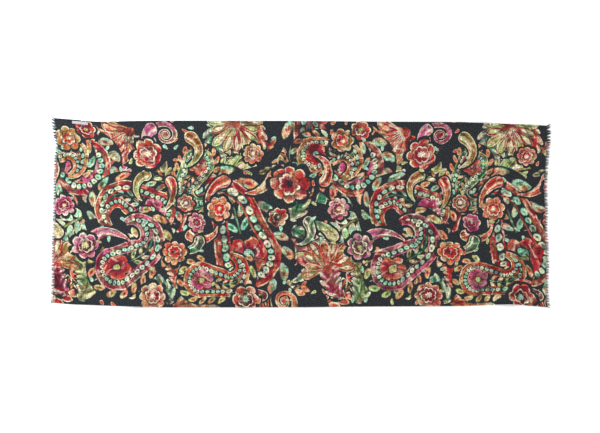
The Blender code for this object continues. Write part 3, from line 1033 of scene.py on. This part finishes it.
# %% Build the fringe
THREADS_PER_END, LOCKS_PER_END, THREAD_STATIONS = 700, 64, 7
THREAD_RADIUS, THREAD_LENGTHS = 0.00035, (0.0095, 0.0142)
ROOT_DEPTH, FRINGE_REACH, FRINGE_SEED = 0.0015, 0.012, 21
# how far threads lean or wave, in metres
LOCK_LEAN, THREAD_LEAN, CORNER_LEAN, THREAD_WAVE = 0.0016, 0.0005, 0.0080, 0.0005
# the upper corners start at this share of the width and are full after this much more
UPPER_START, UPPER_RAMP = 0.87, 0.05
UPPER_TIGHTNESS, UPPER_LONGER, UPPER_THICKER = 0.72, 0.25, 0.6


def fringe_paths(side, draw):
    """Paths (thread, station, xyz), radii, and the share of the cloth's width at each root.

    A thread runs out from its root. Its lean grows as the 1.5th power of the way along it, a slow
    sine waves it, and it comes down from the cloth to the floor in the first part of the way.
    """
    outward = 2 * side - 1
    count = THREADS_PER_END
    share = (np.arange(count) + draw.uniform(0.2, 0.8, count)) / count
    way = np.linspace(0, 1, THREAD_STATIONS)[None, :]
    root_at = cloth_at(np.full(count, float(side)), share)
    lock = np.round(share * LOCKS_PER_END).astype(int)
    together = draw.normal(0, 1, LOCKS_PER_END + 1)[lock]
    upper = np.clip((share - UPPER_START) / UPPER_RAMP, 0, 1)
    loose_tightness = draw.uniform(0.1, 0.8, lock.max() + 1)[lock]
    tightness = loose_tightness * (1 - upper) + UPPER_TIGHTNESS * upper
    gather = (lock / LOCKS_PER_END - share) * CLOTH_WIDTH * tightness
    long_wave = np.interp(share, np.linspace(0, 1, 24), draw.uniform(0.85, 1.0, 24))
    length = long_wave * draw.uniform(*THREAD_LENGTHS, count) * (1 + UPPER_LONGER * upper)
    corner = np.clip(1 - (1 - share) / 0.08, 0, 1) - 0.4 * np.clip(1 - share / 0.05, 0, 1)
    lean = LOCK_LEAN * together + gather + draw.normal(0, THREAD_LEAN, count)
    lean = lean + CORNER_LEAN * corner
    phase, turns = draw.uniform(0, 2 * pi, count), draw.uniform(0.5, 1.3, count)
    wave = THREAD_WAVE * np.sin(phase[:, None] + 2 * pi * turns[:, None] * way) * way
    run = -ROOT_DEPTH + way * (length + ROOT_DEPTH)[:, None]
    x = root_at[:, None, 0] + outward * run
    y = root_at[:, None, 1] + lean[:, None] * way**1.5 + wave
    lift = draw.uniform(0.0003, 0.0022, count)[:, None]
    down = np.clip(way * 1.6, 0, 1)
    z = (root_at[:, None, 2] + 0.0006) * (1 - down) + lift * down + 0.0003
    radii = THREAD_RADIUS * (1 - 0.45 * way**2) * draw.uniform(0.8, 1.2, count)[:, None]
    radii = radii * (1 + UPPER_THICKER * upper[:, None])
    return np.stack([x, y, z], axis=-1), radii, share


def make_fringe(name, side, draw):
    """All the threads of one end. Their print is the cloth's own, carried on past its end."""
    paths, radii, share = fringe_paths(side, draw)
    points, faces = strands(paths, radii, 3)
    way = np.linspace(0, 1, THREAD_STATIONS)[None, :, None]
    out = side + (2 * side - 1) * way * FRINGE_REACH / CLOTH_LENGTH
    places = fabric_place(np.broadcast_to(out, points.shape[:3]),
                          np.broadcast_to(share[:, None, None], points.shape[:3]))
    return object_from(name, points, faces, places, loose_wool)


draw = np.random.default_rng(FRINGE_SEED)
fringes = [dress(make_fringe("fringe_threads_left", 0, draw), "fringe_wool", "fringe_left"),
           dress(make_fringe("fringe_threads_right", 1, draw), "fringe_wool", "fringe_right")]

# %% [markdown]
# ## The label
# A short band of pale satin lies against the upper hem, near the left end. It is left bare. A
# narrow ribbon has woven edges, a soft crown between them, and a few stitches at each end.

# %% Build the label
LABEL_START, LABEL_END = -0.838, -0.781
LABEL_WIDTH, LABEL_THICKNESS, LABEL_SIDE = 0.010, 0.0010, 0.55
LABEL_ROWS, LABEL_COLUMNS = 40, 9
RIB_TURNS = 12000.0


def label_shares():
    """The label's place as shares of the cloth's length, and of its width from the upper hem."""
    left, right = cloth_at(0.0, 1.0)[0], cloth_at(1.0, 1.0)[0]
    along = (np.array([LABEL_START, LABEL_END]) - left) / (right - left)
    middle = along.mean()
    width = cloth_at(middle, 1.0)[1] - cloth_at(middle, 0.0)[1]
    inward = (np.array([LABEL_WIDTH, 0.0]) + SEAM_GAP) / width
    return along, 1 - HEM_SHARE - inward


def satin(fabric):
    """Satin ribbon: long floats that shine, with fine ribs across them."""
    along, _, _ = parts_of(fabric)
    ribs = sine(along * RIB_TURNS) * 0.5 + noise(fabric, 700, 1)
    colour = over(paint_pot(148, 153, 161), paint_pot(196, 188, 188), noise(fabric, 120, 2))
    return colour, ribs * 0.10 + 0.32, ribs


label_along, label_across = label_shares()
along = np.linspace(*label_along, LABEL_ROWS)
across = np.linspace(*label_across, LABEL_COLUMNS)
# the crown rises from the ribbon's firm sides as the root of a sine
over_ribbon = np.sin(pi * np.linspace(0.06, 0.94, LABEL_COLUMNS)) ** 0.5
crown = LABEL_SIDE + (1 - LABEL_SIDE) * over_ribbon
base = CLOTH_THICKNESS + SEAM_GAP
shine = {"Sheen Weight": 0.2, "Specular IOR Level": 0.55}
label = make_shell("label_ribbon", along, across, base, base + LABEL_THICKNESS * crown[None, :],
                   fabric_material("label_satin_ribbon", shine, satin, 0.3, 0.0001))
dress(label, "label_satin", "label")

# %% Sew the label down
LABEL_STITCHES, LABEL_STITCH, LABEL_ARCH = 5, 0.0024, 1.15

way = np.linspace(0, 1, 7)[None, :]
ends = np.repeat(label_along, LABEL_STITCHES)[:, None]
stitch_across = np.tile(np.linspace(*label_across, LABEL_STITCHES + 2)[1:-1], 2)[:, None]
# each stitch is an arch: a sine to the power of 0.6 is steep at its feet and flat on top
arch = np.sin(pi * np.clip(way, 0.02, 0.98)) ** 0.6 * (SEAM_GAP + LABEL_THICKNESS * LABEL_ARCH)
label_sewing = sew("label_stitches", ends + (way - 0.5) * LABEL_STITCH / CLOTH_LENGTH,
                   stitch_across, CLOTH_THICKNESS + arch,
                   thread_material("pale_thread", paint_pot(168, 166, 170), 0.5))
dress(label_sewing, "label_satin")

# %% Say what the sheet is
CUT_WIDTH = 0.684
print("the cloth is cut to", CUT_WIDTH, "by", CLOTH_LENGTH, "m")

# %% [markdown]
# ## Floor, light and camera
# The scarf lies on a plain white floor under a bright, even dome, as in a catalogue. A small cool
# lamp stands beyond the upper left corner, so its light rakes over the folds and falls off along
# the scarf. A large warm lamp on the other side fills the shade. The camera looks straight down
# through a long lens, so the edges stay parallel.

# %% The floor
FLOOR_SIZE = 30.0

floor_mesh = bpy.data.meshes.new("floor")
corners = np.array([(-1, -1, 0), (1, -1, 0), (1, 1, 0), (-1, 1, 0)]) * FLOOR_SIZE / 2
floor_mesh.from_pydata(corners.tolist(), [], [(0, 1, 2, 3)])
floor = bpy.data.objects.new("floor", floor_mesh)
bpy.context.scene.collection.objects.link(floor)
floor_paint, _ = new_material("white_floor", {"Base Color": (0.98, 0.98, 0.98, 1.0),
                                              "Roughness": 0.9, "Specular IOR Level": 0.1})
floor_mesh.materials.append(floor_paint)

# %% The lights
SKY_STRENGTH = 0.56


def lamp(name, place, size, power_watts, colour):
    """A square area lamp that faces the middle of the scarf."""
    data = bpy.data.lights.new(name, "AREA")
    data.size, data.energy, data.color = size, power_watts, colour
    made = bpy.data.objects.new(name, data)
    made.location = place
    made.rotation_euler = (-made.location).to_track_quat("-Z", "Y").to_euler()
    bpy.context.scene.collection.objects.link(made)


world = bpy.data.worlds.new("pale_sky")
world.use_nodes = True
sky = world.node_tree.nodes["Background"]
sky.inputs["Color"].default_value = (1.0, 1.0, 1.0, 1.0)
sky.inputs["Strength"].default_value = SKY_STRENGTH
bpy.context.scene.world = world
lamp("key_lamp", (-2.3, 1.4, 1.7), 0.9, 96, (0.88, 0.98, 1.00))
lamp("fill_lamp", (5.6, -4.4, 6.4), 4.0, 330, (1.00, 0.97, 0.92))
print("lamps", [(light.name, light.energy) for light in bpy.data.lights])

# %% The camera
VIEW_CENTRE, VIEW_WIDTH, LENS = (-0.0027, -0.0139), 2.198, 85.0

camera_data = bpy.data.cameras.new("camera")
camera_data.lens = LENS
camera_height = VIEW_WIDTH * LENS / camera_data.sensor_width
camera = bpy.data.objects.new("camera", camera_data)
camera.location = (*VIEW_CENTRE, camera_height)
bpy.context.scene.collection.objects.link(camera)
bpy.context.scene.camera = camera
bpy.context.scene.view_settings.view_transform = "Standard"
print("camera is", round(camera_height, 2), "m above the floor")
